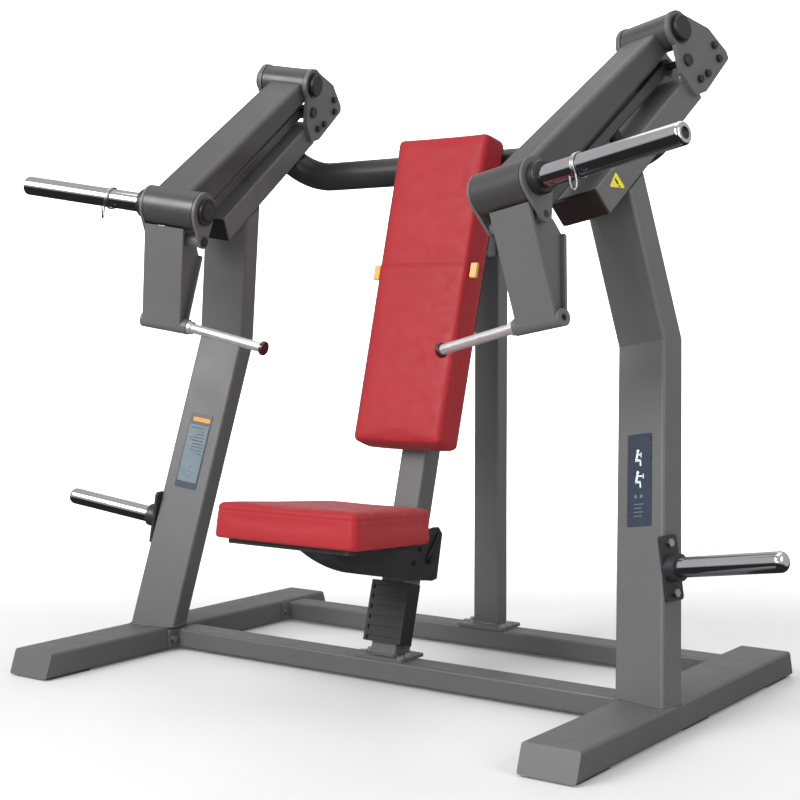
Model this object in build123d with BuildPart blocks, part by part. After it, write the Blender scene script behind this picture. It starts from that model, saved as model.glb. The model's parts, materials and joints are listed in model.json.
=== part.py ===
from build123d import *
from math import atan2, cos, degrees, hypot, radians, sin
import os

# Plate-loaded chest press machine, in millimetres.
# +Z is up, -Y is the side the user faces, X runs across the machine.
# The origin is on the floor, midway between the feet.
#
# Each side frame (upright, boom, press arm, link bar, drop link) is drawn flat
# in its own tilted plane, SIDE, whose local x runs rearward, local y runs up
# and local z runs outward along the pivot axes. The right side is drawn and
# the left side is its mirror image.

os.makedirs("parts", exist_ok=True)

# ---------------------------------------------------------------- side plane
TURN_IN = 11.6              # side frames turned towards the user, degrees
RISE_OUT = 9.2              # pivot axes rise outward, degrees
SIDE_Y = -11.0              # side frame reference, from the middle of the feet

turn = radians(TURN_IN)
rise = radians(RISE_OUT)
side_rear = Vector(sin(turn), cos(turn), 0)
side_out = Vector(cos(turn) * cos(rise), -sin(turn) * cos(rise), sin(rise))
SIDE = Plane(origin=(0, SIDE_Y, 0), x_dir=side_rear, z_dir=side_out)

# ------------------------------------------------------------------ base
PAD_H = 4.0                 # rubber strips under the feet
FOOT_L = 1158.0
FOOT_W = 136.0
FOOT_TOP = 67.0
FOOT_SLOPE = 22.0           # run of the sloped foot ends
FOOT_X = 761.0              # centre of the right foot
BAR_H = 52.0                # crossbars between the feet
BAR_D = 80.0
BAR_Z = 8.0
FRONT_BAR_Y = -66.0         # centre of the front crossbar
REAR_BAR_Y = 423.0          # centre of the rear crossbar
WALL = 4.0                  # steel tube wall
BOLT_R = 6.0
HEAD_R = 10.0
HEAD_H = 8.0

# ------------------------------------------------------ side frame, side plane
FRAME_IN = 692.0            # inner face of upright and boom
FRAME_OUT = 828.0
TUBE_D = 70.0               # depth of the upright and boom tubes
KNEE = (184.0, 749.0)       # front of the upright's bend
SHIN_SLOPE = 0.2059         # rearward run per unit height below the bend
THIGH_SLOPE = -0.175        # and above it
BOOM_FRONT = (45.0, 1033.0)  # lower front corner of the boom
BOOM_RISE = 37.0            # degrees
BOOM_L = 512.0
PLATE_T = 12.0              # pivot plates welded to the boom's sides

# ------------------------------------------------------- parallel arm linkage
PIVOT = (378.0, 1502.0)     # arm pivot, rear and high
HUB = (-175.0, 1102.0)      # front hub, on the weight horn's axis
LINK_DROP = (16.0, -76.0)   # from the arm pivot to the link pivot
LINK_REAR = (PIVOT[0] + LINK_DROP[0], PIVOT[1] + LINK_DROP[1])
LINK_FRONT = (HUB[0] + LINK_DROP[0], HUB[1] + LINK_DROP[1])
ARM_IN = 694.0
ARM_OUT = 804.0
HUB_IN = 658.0
HUB_R = 50.0
HEAD_TUBE_R = 44.0
SHAFT_R = 15.0
RUN_FIT = 0.05              # radial clearance of a running fit
GAP = 2.0                   # side clearance between moving plates
PIN_R = 9.0
BAR_IN = 711.0              # link bar, inner and outer faces
BAR_OUT = 781.0
SPINDLE_R = 22.0            # weight horn where it runs in the hub
HORN_R = 25.0
HORN_END = 1206.0
COLLAR_OUT = 836.0
GRIP_TUBE = (-138.0, 801.0)  # tube across the foot of the drop link
GRIP_TUBE_R = 20.0
HANDLE_R = 12.5
HANDLE_L = 228.0
STORE = (100.0, 232.0)      # storage horn on the upright
STORE_R = 23.0
STORE_NECK_R = 21.0         # storage horn inside its plate's collar
STORE_END = 1132.0

# ------------------------------------------------------------ seat and back
POST_W = 78.0
POST_D = 68.0
POST_FRONT = 24.3           # seat post front face at the height POST_MARK
POST_MARK = 453.0
POST_TOP = 1180.0
REAR_POST_Y = 437.5         # centre of the rear post
REAR_POST_W = 80.0
REAR_POST_D = 51.0
BACK_T = 78.0
PAD_TOP_W = 290.0
PAD_BOTTOM_W = 278.0
PAD_LOW = (-28.0, 602.0)    # front lower edge of the back pad, (y, z)
PAD_HIGH = (194.0, 1406.0)  # front upper edge
BOARD_T = 12.0
SEAT_FRONT_W = 430.0
SEAT_REAR_W = 322.0
SEAT_FRONT = (-474.0, 481.0)  # front upper edge of the seat pad, (y, z)
SEAT_REAR = (-91.0, 450.5)
SEAT_T = 84.0
SEAT_BOARD_T = 12.0
CROSS_Z = 1332.0            # tube behind the back pad, its ends bent up to the booms
CROSS_Y = 318.0
CROSS_X = 615.0             # where each upturned end crosses the line of the middle run
CROSS_TIP = (615.0, 219.0, 1470.0)
CROSS_BEND = 150.0
CROSS_R = 40.0


def save(piece, name):
    """Label one finished piece and write it."""
    piece.part.label = name
    export_step(piece.part, f"parts/{name}.step")


def save_pair(piece, name):
    """Write the right-hand piece and its mirror image on the left."""
    save(piece, f"right_{name}")
    with BuildPart() as left:
        mirror(piece.part, about=Plane.YZ)
    save(left, f"left_{name}")


def save_both(piece, name):
    """Write a right-hand piece and its mirror image as one group."""
    with BuildPart() as both:
        add(piece.part)
        mirror(piece.part, about=Plane.YZ)
    save(both, name)


def prism(outline, plane, depth, mode=Mode.ADD, inset=0.0):
    """Extrude a closed outline from a plane; inset shrinks it all round."""
    with BuildSketch(plane) as section:
        with BuildLine():
            Polyline(*outline, close=True)
        make_face()
        if inset:
            offset(amount=-inset, kind=Kind.INTERSECTION, mode=Mode.REPLACE)
    extrude(section.sketch, amount=depth, mode=mode)


def bar_across(centre, start, end, radius, mode=Mode.ADD):
    """Round bar along the pivot direction, between two distances outward."""
    with BuildSketch(SIDE.offset(start)) as section:
        with Locations(centre):
            Circle(radius)
    extrude(section.sketch, amount=end - start, mode=mode)


def box_tube(outline, plane, depth, wall=WALL, corner=7.0):
    """Hollow tube with rounded long edges, drawn by its side outline."""
    prism(outline, plane, depth)
    part = BuildPart._get_context().part
    long_rims = [e for e in part.edges() if e.length > 2.5 * TUBE_D]
    rims = [e for e in long_rims if abs((e % 0.5).dot(plane.z_dir)) < 1e-4]
    fillet(rims, radius=corner)
    prism(outline, plane.offset(wall), depth - 2 * wall, Mode.SUBTRACT, inset=wall)


def shift(point, along, across, angle):
    """Point moved along and across a direction given in degrees."""
    c = cos(radians(angle))
    s = sin(radians(angle))
    return (point[0] + along * c - across * s, point[1] + along * s + across * c)


# ======================================================================= feet
with BuildPart() as foot:
    half = FOOT_L / 2
    top_half = half - FOOT_SLOPE
    outline = [(-half, PAD_H), (half, PAD_H), (top_half, FOOT_TOP), (-top_half, FOOT_TOP)]
    box_tube(outline, Plane.YZ.offset(FOOT_X - FOOT_W / 2), FOOT_W)
save_pair(foot, "foot")

with BuildPart() as foot_strips:
    with BuildSketch(Plane.XY) as strips:
        with Locations((FOOT_X, -FOOT_L / 2 + 90), (FOOT_X, 0), (FOOT_X, FOOT_L / 2 - 90)):
            RectangleRounded(FOOT_W - 14, 150, 12)
    extrude(strips.sketch, amount=PAD_H)
save_both(foot_strips, "foot_pads")

# ================================================================== crossbars
bar_half = FOOT_X - FOOT_W / 2
END_T = 8.0                 # bolted end plates of the crossbars


def crossbar(y):
    """Box tube between the feet with an end plate at each foot."""
    with BuildSketch(Plane.YZ.offset(-bar_half + END_T)) as tube:
        with Locations((y, BAR_Z + BAR_H / 2)):
            RectangleRounded(BAR_D, BAR_H, 6)
            RectangleRounded(BAR_D - 2 * WALL, BAR_H - 2 * WALL, 3, mode=Mode.SUBTRACT)
    extrude(tube.sketch, amount=2 * (bar_half - END_T))
    for start in (-bar_half, bar_half - END_T):
        with BuildSketch(Plane.YZ.offset(start)) as end_plate:
            with Locations((y, BAR_Z + BAR_H / 2)):
                RectangleRounded(BAR_D + 64, BAR_H, 6)
                with GridLocations(BAR_D + 38, 1, 2, 1):
                    Circle(BOLT_R, mode=Mode.SUBTRACT)
        extrude(end_plate.sketch, amount=END_T)


with BuildPart() as front_crossbar:
    crossbar(FRONT_BAR_Y)
save(front_crossbar, "front_crossbar")

with BuildPart() as rear_crossbar:
    crossbar(REAR_BAR_Y)
save(rear_crossbar, "rear_crossbar")

# =================================================================== uprights
BOOM_TOP_FRONT = shift(BOOM_FRONT, 0, TUBE_D, BOOM_RISE)
boom_slope = sin(radians(BOOM_RISE)) / cos(radians(BOOM_RISE))
BURIED = -120.0             # the upright is drawn this low, then cut at the foot
shin_run = TUBE_D * hypot(1, SHIN_SLOPE)
thigh_run = TUBE_D * hypot(1, THIGH_SLOPE)


def shin_r(u):
    """Front face of the lower upright at height u."""
    return KNEE[0] + SHIN_SLOPE * (u - KNEE[1])


def thigh_r(u):
    """Front face of the upper upright at height u."""
    return KNEE[0] + THIGH_SLOPE * (u - KNEE[1])


def meet_boom(run):
    """Where a line run behind the upper front face reaches the boom's underside."""
    lift = BOOM_FRONT[1] + boom_slope * (KNEE[0] + run - THIGH_SLOPE * KNEE[1] - BOOM_FRONT[0])
    u = lift / (1 - boom_slope * THIGH_SLOPE)
    return (thigh_r(u) + run, u)


knee_u = KNEE[1] + (thigh_run - shin_run) / (SHIN_SLOPE - THIGH_SLOPE)
upright_line = [
    (shin_r(BURIED), BURIED),
    KNEE,
    meet_boom(0),
    meet_boom(thigh_run),
    (thigh_r(knee_u) + thigh_run, knee_u),
    (shin_r(BURIED) + shin_run, BURIED),
]
with BuildPart() as upright:
    box_tube(upright_line, SIDE.offset(FRAME_IN), FRAME_OUT - FRAME_IN)
    split(bisect_by=Plane.XY.offset(FOOT_TOP), keep=Keep.TOP)
save_pair(upright, "upright")

# ====================================================================== booms
boom_rear_low = shift(BOOM_FRONT, BOOM_L, 0, BOOM_RISE)
boom_rear_high = shift(BOOM_FRONT, BOOM_L, TUBE_D, BOOM_RISE)
with BuildPart() as boom:
    outline = [BOOM_FRONT, boom_rear_low, boom_rear_high, BOOM_TOP_FRONT]
    box_tube(outline, SIDE.offset(FRAME_IN), FRAME_OUT - FRAME_IN)
save_pair(boom, "boom")

CAP_T = 6.0
with BuildPart() as boom_cap:
    with BuildSketch(SIDE.offset(FRAME_IN + 1)) as cap_side:
        with BuildLine():
            Polyline(
                shift(BOOM_FRONT, 0, 1, BOOM_RISE),
                shift(BOOM_FRONT, 0, TUBE_D - 1, BOOM_RISE),
                shift(BOOM_FRONT, -CAP_T, TUBE_D - 5, BOOM_RISE),
                shift(BOOM_FRONT, -CAP_T, 5, BOOM_RISE),
                close=True,
            )
        make_face()
    extrude(cap_side.sketch, amount=FRAME_OUT - FRAME_IN - 2)
save_both(boom_cap, "boom_end_caps")

# =============================================================== pivot plates
PLATE_NOSE = 46.0           # radius of the pivot plates round the arm pivot
PLATE_BOLTS = [(512.0, 1478.0), (526.0, 1446.0), (436.0, 1384.0), (470.0, 1402.0)]
plate_line = [
    (352.0, 1486.0),
    (366.0, 1392.0),
    (415.0, 1342.0),
    (458.0, 1356.0),
    (572.0, 1452.0),
    (566.0, 1470.0),
    (500.0, 1520.0),
    (398.0, 1542.0),
]


def pivot_plate(start):
    """Plate beside the boom that carries the arm pivot and the link pivot."""
    with BuildSketch(SIDE.offset(start)) as face:
        with BuildLine():
            Polyline(*plate_line, close=True)
        make_face()
        fillet(face.vertices(), radius=8)
        with Locations(PIVOT):
            Circle(PLATE_NOSE)
            Circle(SHAFT_R + 1, mode=Mode.SUBTRACT)
        with Locations(LINK_REAR):
            Circle(PIN_R, mode=Mode.SUBTRACT)
        with Locations(*PLATE_BOLTS):
            Circle(BOLT_R, mode=Mode.SUBTRACT)
    extrude(face.sketch, amount=PLATE_T)


with BuildPart() as pivot_plates:
    pivot_plate(FRAME_IN - PLATE_T)
    pivot_plate(FRAME_OUT)
save_both(pivot_plates, "pivot_plates")

BEARING_L = 6.0
BEARING_RIM_T = 3.0
BEARING_R = 29.0
SHAFT_CAP_T = 8.0
SHAFT_CAP_R = 31.0
SHAFT_OVER = 2.0            # the shaft ends this far past the bearings
plate_in = FRAME_IN - PLATE_T
plate_out = FRAME_OUT + PLATE_T

with BuildPart() as pivot_bearings:
    for start, sign in ((plate_in, -1), (plate_out, 1)):
        with BuildSketch(SIDE.offset(start)) as flange:
            with Locations(PIVOT):
                Circle(BEARING_R + 7)
                Circle(SHAFT_R + RUN_FIT, mode=Mode.SUBTRACT)
        extrude(flange.sketch, amount=sign * BEARING_RIM_T)
        with BuildSketch(SIDE.offset(start)) as barrel:
            with Locations(PIVOT):
                Circle(BEARING_R)
                Circle(SHAFT_R + RUN_FIT, mode=Mode.SUBTRACT)
        extrude(barrel.sketch, amount=sign * BEARING_L)
save_both(pivot_bearings, "pivot_bearings")

with BuildPart() as shaft_caps:
    for start, sign in ((plate_in - BEARING_L, -1), (plate_out + BEARING_L, 1)):
        with BuildSketch(SIDE.offset(start)) as cup:
            with Locations(PIVOT):
                Circle(SHAFT_CAP_R)
        extrude(cup.sketch, amount=sign * SHAFT_CAP_T)
        with BuildSketch(SIDE.offset(start)) as cup_bore:
            with Locations(PIVOT):
                Circle(SHAFT_R + 3)
        extrude(cup_bore.sketch, amount=sign * (SHAFT_OVER + 4), mode=Mode.SUBTRACT)
    circles = shaft_caps.edges().filter_by(GeomType.CIRCLE)
    rims = circles.filter_by(lambda e: abs(e.radius - SHAFT_CAP_R) < 0.1)
    middle = (plate_in + plate_out) / 2
    reach = (plate_out - plate_in) / 2 + BEARING_L + 1
    ends = [e for e in rims if abs(SIDE.to_local_coords(e.arc_center).Z - middle) > reach]
    fillet(ends, radius=3)
save_both(shaft_caps, "pivot_caps")

PIN_HEAD_R = 15.0
PIN_HEAD_T = 7.0
with BuildPart() as link_pins:
    bar_across(LINK_REAR, plate_in - PIN_HEAD_T, plate_out + PIN_HEAD_T, PIN_R)
    bar_across(LINK_REAR, plate_in - PIN_HEAD_T, plate_in, PIN_HEAD_R)
    bar_across(LINK_REAR, plate_out, plate_out + PIN_HEAD_T, PIN_HEAD_R)
save_both(link_pins, "link_pins")

with BuildPart() as plate_bolts:
    for start, sign in ((plate_in, -1), (plate_out, 1)):
        with BuildSketch(SIDE.offset(start)) as heads:
            with Locations(*PLATE_BOLTS):
                RegularPolygon(HEAD_R, 6)
        extrude(heads.sketch, amount=sign * HEAD_H)
        with BuildSketch(SIDE.offset(start)) as shanks:
            with Locations(*PLATE_BOLTS):
                Circle(BOLT_R)
        extrude(shanks.sketch, amount=-sign * (PLATE_T - 0.5))
save_both(plate_bolts, "plate_bolts")

# ================================================================= press arms
ARM_TOP = [(-178.0, 1150.0), (352.0, 1512.0)]
ARM_BASE = [(362.0, 1439.0), (-140.0, 1066.0)]
arm_line = [(-190.0, 1110.0), *ARM_TOP, (384.0, 1510.0), (388.0, 1470.0), *ARM_BASE]
ARM_WALL = 8.0
arm_hollow = [(-105.0, 1101.0), (310.0, 1409.0), (290.0, 1460.0), (-130.0, 1173.0)]
with BuildPart() as arm:
    prism(arm_line, SIDE.offset(ARM_IN), ARM_OUT - ARM_IN)
    crown = [e for e in arm.edges() if abs((e % 0.5).dot(side_out)) < 1e-4 and e.length > 400]
    fillet(crown, radius=16)
    prism(arm_hollow, SIDE.offset(ARM_IN + ARM_WALL), ARM_OUT - ARM_IN - 2 * ARM_WALL, Mode.SUBTRACT)
    bar_across(HUB, HUB_IN, ARM_OUT, HUB_R)
    bar_across(PIVOT, FRAME_IN + GAP, FRAME_OUT - GAP, HEAD_TUBE_R)
    bar_across(HUB, HUB_IN, ARM_OUT, SPINDLE_R, Mode.SUBTRACT)
    bar_across(PIVOT, FRAME_IN + GAP, FRAME_OUT - GAP, SHAFT_R, Mode.SUBTRACT)
save_pair(arm, "press_arm")

with BuildPart() as pivot_shaft:
    bar_across(PIVOT, plate_in - BEARING_L - SHAFT_OVER, plate_out + BEARING_L + SHAFT_OVER, SHAFT_R)
save_pair(pivot_shaft, "pivot_shaft")

# ---------------------------------------------------- weight horn on the hub
EAR_T = 8.0
CLIP_AT = 929.0             # where the spring clip rests on the horn
CLIP_W = 8.0
CLIP_ROOM = 4.0             # the horn's shallow groove is this much wider at each side
ear_in = HUB_IN - GAP - EAR_T
ear_out = ARM_OUT + GAP + EAR_T
CAP_DISC_T = 8.0
with BuildPart() as horn:
    bar_across(HUB, ear_in - GAP - CAP_DISC_T, COLLAR_OUT, SPINDLE_R)
    bar_across(HUB, COLLAR_OUT, HORN_END, HORN_R)
    tip = horn.edges().sort_by(Axis(SIDE.origin, side_out))[-1]
    fillet(tip, radius=7)
    bar_across(HUB, CLIP_AT - CLIP_ROOM, CLIP_AT + CLIP_W + CLIP_ROOM, HORN_R + 2, Mode.SUBTRACT)
    bar_across(HUB, CLIP_AT - CLIP_ROOM, CLIP_AT + CLIP_W + CLIP_ROOM, HORN_R - 1)
    bar_across(HUB, HORN_END - 30, HORN_END, HORN_R - 12, Mode.SUBTRACT)
save_pair(horn, "weight_horn")

with BuildPart() as horn_plug:
    bar_across(HUB, HORN_END - 30, HORN_END - 4, HORN_R - 12)
save_pair(horn_plug, "horn_plug")

with BuildPart() as hub_cap:
    bar_across(HUB, ear_in - GAP - CAP_DISC_T, ear_in - GAP, HORN_R + 10)
    bar_across(HUB, ear_in - GAP - CAP_DISC_T, ear_in - GAP, SPINDLE_R, Mode.SUBTRACT)
save_pair(hub_cap, "hub_retainer")

with BuildPart() as collar:
    bar_across(HUB, ear_out + GAP, COLLAR_OUT, HORN_R + 12)
    outer_rim = [e for e in collar.edges() if SIDE.to_local_coords(e.center()).Z > COLLAR_OUT - 1]
    fillet(outer_rim, radius=5)
    bar_across(HUB, ear_out + GAP, COLLAR_OUT, SPINDLE_R, Mode.SUBTRACT)
save_pair(collar, "horn_collar")

# ================================================================== link bars
LINK_H = 28.0
LINK_EYE_R = 20.0
link_angle = degrees(atan2(LINK_REAR[1] - LINK_FRONT[1], LINK_REAR[0] - LINK_FRONT[0]))
link_length = hypot(LINK_REAR[0] - LINK_FRONT[0], LINK_REAR[1] - LINK_FRONT[1])
link_line = [
    shift(LINK_FRONT, 0, -LINK_H / 2, link_angle),
    shift(LINK_FRONT, link_length, -LINK_H / 2, link_angle),
    shift(LINK_FRONT, link_length, LINK_H / 2, link_angle),
    shift(LINK_FRONT, 0, LINK_H / 2, link_angle),
]
with BuildPart() as link_bar:
    prism(link_line, SIDE.offset(BAR_IN), BAR_OUT - BAR_IN)
    long_edges = [e for e in link_bar.edges() if e.length > 400]
    fillet(long_edges, radius=5)
    prism(link_line, SIDE.offset(BAR_IN + WALL), BAR_OUT - BAR_IN - 2 * WALL, Mode.SUBTRACT, inset=WALL)
    for eye in (LINK_FRONT, LINK_REAR):
        bar_across(eye, BAR_IN, BAR_OUT, LINK_EYE_R)
        bar_across(eye, BAR_IN, BAR_OUT, PIN_R + RUN_FIT, Mode.SUBTRACT)
save_pair(link_bar, "link_bar")

# ================================================================= drop links
DROP_IN = 688.0
DROP_OUT = 804.0
WEB_INSET = 12.0
WEB_T = 8.0
FLANGE_T = 8.0
EAR_TIP_R = 18.0
DROP_TOP = (-202.4, 1052.0)
DROP_FOOT = (-158.0, 801.0)
RIM_TOP = (-88.0, 984.0)
RIM_FOOT = (-118.0, 801.0)
web_line = [DROP_TOP, (-150.0, 1044.0), (-112.0, 1020.0), RIM_TOP, RIM_FOOT, DROP_FOOT]
front_flange = [
    DROP_TOP,
    (DROP_TOP[0] + FLANGE_T, DROP_TOP[1]),
    (DROP_FOOT[0] + FLANGE_T, DROP_FOOT[1]),
    DROP_FOOT,
]
rear_flange = [
    RIM_TOP,
    RIM_FOOT,
    (RIM_FOOT[0] - FLANGE_T, RIM_FOOT[1]),
    (RIM_TOP[0] - FLANGE_T, RIM_TOP[1] + 4),
]


def ear(start, depth):
    """Plate round the hub that narrows to the link pin."""
    with BuildSketch(SIDE.offset(start)) as plate:
        with Locations(HUB):
            Circle(HUB_R)
        with Locations(LINK_FRONT):
            Circle(EAR_TIP_R)
        make_hull()
        with Locations(HUB):
            Circle(SPINDLE_R + RUN_FIT, mode=Mode.SUBTRACT)
    extrude(plate.sketch, amount=depth)


with BuildPart() as drop_link:
    prism(front_flange, SIDE.offset(DROP_IN), DROP_OUT - DROP_IN)
    prism(rear_flange, SIDE.offset(DROP_IN), DROP_OUT - DROP_IN)
    prism(web_line, SIDE.offset(DROP_IN + WEB_INSET), WEB_T)
    prism(web_line, SIDE.offset(DROP_OUT - WEB_INSET - WEB_T), WEB_T)
    bar_across(GRIP_TUBE, DROP_IN - 16, DROP_OUT + 8, GRIP_TUBE_R)
    bar_across(GRIP_TUBE, DROP_OUT - 20, DROP_OUT + 8, GRIP_TUBE_R - 12, Mode.SUBTRACT)
    ear(ear_in, EAR_T)
    ear(ear_out - EAR_T, EAR_T)
    bar_across(LINK_FRONT, ear_in + 1, DROP_IN + WEB_INSET, EAR_TIP_R - 2)
    bar_across(LINK_FRONT, DROP_OUT - WEB_INSET, ear_out - 1, EAR_TIP_R - 2)
    bar_across(LINK_FRONT, ear_in, ear_out, PIN_R, Mode.SUBTRACT)
save_pair(drop_link, "drop_link")

with BuildPart() as link_front_pin:
    bar_across(LINK_FRONT, ear_in - 4, ear_out, PIN_R)
    bar_across(LINK_FRONT, ear_in - 4, ear_in, PIN_R + 4)
save_pair(link_front_pin, "link_front_pin")

# ==================================================================== handles
HANDLE_SWEEP = (-10.0, -14.0, -199.0)   # handle direction in the side frame
handle_root = SIDE.from_local_coords((GRIP_TUBE[0], GRIP_TUBE[1], DROP_IN - 16))
handle_dir = SIDE.from_local_coords(HANDLE_SWEEP) - SIDE.origin
HANDLE = Plane(origin=handle_root, z_dir=handle_dir)
SOCKET_L = 12.0
with BuildPart() as handle:
    with BuildSketch(HANDLE.offset(-3)) as socket:
        Circle(HANDLE_R + 4.5)
    extrude(socket.sketch, amount=SOCKET_L + 3)
    with BuildSketch(HANDLE.offset(-3)) as bar:
        Circle(HANDLE_R)
    extrude(bar.sketch, amount=HANDLE_L + 3)
    split(bisect_by=SIDE.offset(DROP_IN - 16), keep=Keep.BOTTOM)
save_pair(handle, "handle")

with BuildPart() as handle_end:
    with BuildSketch(HANDLE.offset(HANDLE_L)) as knob:
        Circle(HANDLE_R + 6)
    extrude(knob.sketch, amount=12)
    fillet(handle_end.edges(), radius=4)
save_pair(handle_end, "handle_end")

# =============================================================== spring clips
WIRE_R = 2.2
LOOP_W = 18.0
LOOP_L = 48.0
with BuildPart() as clip:
    bar_across(HUB, CLIP_AT, CLIP_AT + CLIP_W, HORN_R + 4)
    bar_across(HUB, CLIP_AT, CLIP_AT + CLIP_W, HORN_R + 0.3, Mode.SUBTRACT)
    for side in (-1, 1):
        wire_foot = (HUB[0] + LOOP_W / 2 * side, HUB[1] - HORN_R - 2, CLIP_AT + CLIP_W / 2)
        wire_top = SIDE.from_local_coords(wire_foot)
        with BuildSketch(Plane(wire_top, z_dir=(0, 0, -1))) as wire:
            Circle(WIRE_R)
        extrude(wire.sketch, amount=LOOP_L)
    with BuildSketch(Plane(wire_top + Vector(0, 0, -LOOP_L), z_dir=side_rear * -1)) as bridge:
        Circle(WIRE_R)
    extrude(bridge.sketch, amount=LOOP_W)
save_pair(clip, "spring_clip")

# ============================================================== rest bumpers
BUMPER_ALONG = 232.0
BUMPER_R = 16.0
boom_top_mid = shift(BOOM_TOP_FRONT, BUMPER_ALONG, 0, BOOM_RISE)
link_low = LINK_FRONT[1] + (boom_top_mid[0] - LINK_FRONT[0]) * (LINK_REAR[1] - LINK_FRONT[1]) / (
    LINK_REAR[0] - LINK_FRONT[0])
room = (link_low - boom_top_mid[1]) * cos(radians(BOOM_RISE)) - LINK_H / 2
BUMPER = Plane(
    origin=SIDE.from_local_coords((boom_top_mid[0], boom_top_mid[1], (FRAME_IN + FRAME_OUT) / 2)),
    z_dir=SIDE.from_local_coords((-sin(radians(BOOM_RISE)), cos(radians(BOOM_RISE)), 0)) - SIDE.origin,
)
with BuildPart() as bumper:
    with BuildSketch(BUMPER) as buffer:
        Circle(BUMPER_R)
    extrude(buffer.sketch, amount=room - 0.9)
    fillet(bumper.edges().filter_by(GeomType.CIRCLE), radius=1.5)
save_both(bumper, "rest_bumpers")

# ============================================================== storage horns
STORE_PLATE = (60.0, 146.0)
STORE_T = 8.0
STORE_COLLAR = 32.0
STORE_BOLT = 56.0           # bolts above and below the horn
with BuildPart() as store_plate:
    with BuildSketch(SIDE.offset(FRAME_OUT)) as plate:
        with Locations(STORE):
            RectangleRounded(*STORE_PLATE, 8)
        with Locations((STORE[0], STORE[1] + STORE_BOLT), (STORE[0], STORE[1] - STORE_BOLT)):
            Circle(BOLT_R, mode=Mode.SUBTRACT)
    extrude(plate.sketch, amount=STORE_T)
    bar_across(STORE, FRAME_OUT, FRAME_OUT + STORE_COLLAR, STORE_R + 8)
    bar_across(STORE, FRAME_OUT, FRAME_OUT + STORE_COLLAR, STORE_NECK_R, Mode.SUBTRACT)
save_both(store_plate, "storage_plates")

with BuildPart() as store_horn:
    bar_across(STORE, FRAME_OUT, FRAME_OUT + STORE_COLLAR + 2, STORE_NECK_R)
    bar_across(STORE, FRAME_OUT + STORE_COLLAR + 2, STORE_END, STORE_R)
    tip = store_horn.edges().sort_by(Axis(SIDE.origin, side_out))[-1]
    fillet(tip, radius=14)
save_both(store_horn, "storage_horns")

with BuildPart() as store_bolts:
    with BuildSketch(SIDE.offset(FRAME_OUT + STORE_T)) as heads:
        with Locations((STORE[0], STORE[1] + STORE_BOLT), (STORE[0], STORE[1] - STORE_BOLT)):
            RegularPolygon(HEAD_R, 6)
    extrude(heads.sketch, amount=HEAD_H)
    with BuildSketch(SIDE.offset(FRAME_OUT + 0.2)) as shanks:
        with Locations((STORE[0], STORE[1] + STORE_BOLT), (STORE[0], STORE[1] - STORE_BOLT)):
            Circle(BOLT_R)
    extrude(shanks.sketch, amount=STORE_T)

# ============================================================ placards, labels
PLACARD = (69.0, 213.0)
PLACARD_T = 1.6
placard_mid = 434.0
shin_lean = degrees(atan2(1, SHIN_SLOPE))
PLACARD_PLANE = Plane(
    origin=SIDE.from_local_coords((shin_r(placard_mid), placard_mid, (FRAME_IN + FRAME_OUT) / 2)),
    x_dir=side_out,
    z_dir=SIDE.from_local_coords((-sin(radians(shin_lean)), cos(radians(shin_lean)), 0)) - SIDE.origin,
)
with BuildPart() as placard:
    with BuildSketch(PLACARD_PLANE) as sheet:
        RectangleRounded(*PLACARD, 3)
    extrude(sheet.sketch, amount=PLACARD_T)
save_both(placard, "placards")

with BuildPart() as label:
    with BuildSketch(SIDE.offset(FRAME_OUT)) as sign:
        with Locations(shift(BOOM_FRONT, 72, 39, BOOM_RISE)):
            Triangle(a=56, B=52, C=52)
        fillet(sign.vertices(), radius=3)
    extrude(sign.sketch, amount=1.0)
save_both(label, "warning_labels")

# ========================================================= curved cross tube
with BuildPart() as cross_tube:
    with BuildLine() as path:
        FilletPolyline(
            (-CROSS_TIP[0], CROSS_TIP[1], CROSS_TIP[2]),
            (-CROSS_X, CROSS_Y, CROSS_Z),
            (CROSS_X, CROSS_Y, CROSS_Z),
            CROSS_TIP,
            radius=CROSS_BEND,
        )
    with BuildSketch(Plane(path.line @ 0, x_dir=(1, 0, 0), z_dir=path.line % 0)) as section:
        Circle(CROSS_R)
        Circle(CROSS_R - WALL, mode=Mode.SUBTRACT)
    sweep(section.sketch, path=path.line)
    boom_space = [shift(BOOM_FRONT, along, across, BOOM_RISE) for along, across in
                  ((BOOM_L / 2, 0), (BOOM_L + 90, 0), (BOOM_L + 90, 150), (BOOM_L / 2, 150))]
    with BuildPart(mode=Mode.PRIVATE) as above_boom:
        prism(boom_space, SIDE.offset(plate_in), plate_out - plate_in)
        mirror(above_boom.part, about=Plane.YZ)
    add(above_boom.part, mode=Mode.SUBTRACT)
save(cross_tube, "back_crosstube")

# ==================================================================== posts
back_run = PAD_HIGH[0] - PAD_LOW[0]
back_rise = PAD_HIGH[1] - PAD_LOW[1]
back_length = hypot(back_run, back_rise)
post_up = Vector(0, back_run / back_length, back_rise / back_length)
post_rear = Vector(0, post_up.Z, -post_up.Y)
SEAT_POST = Plane(origin=(0, POST_FRONT, POST_MARK), x_dir=(1, 0, 0), z_dir=post_up)
FLANGE = (150.0, 104.0, 8.0)  # base plates of both posts
bar_top = BAR_Z + BAR_H
flange_top = bar_top + FLANGE[2]

with BuildPart() as seat_post:
    with BuildSketch(SEAT_POST.offset(-500)) as tube:
        with Locations((0, POST_D / 2)):
            RectangleRounded(POST_W, POST_D, 6)
            RectangleRounded(POST_W - 2 * WALL, POST_D - 2 * WALL, 3, mode=Mode.SUBTRACT)
    extrude(tube.sketch, amount=500 + (POST_TOP - POST_MARK) / post_up.Z)
    split(bisect_by=Plane.XY.offset(flange_top), keep=Keep.TOP)
save(seat_post, "seat_post")

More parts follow.
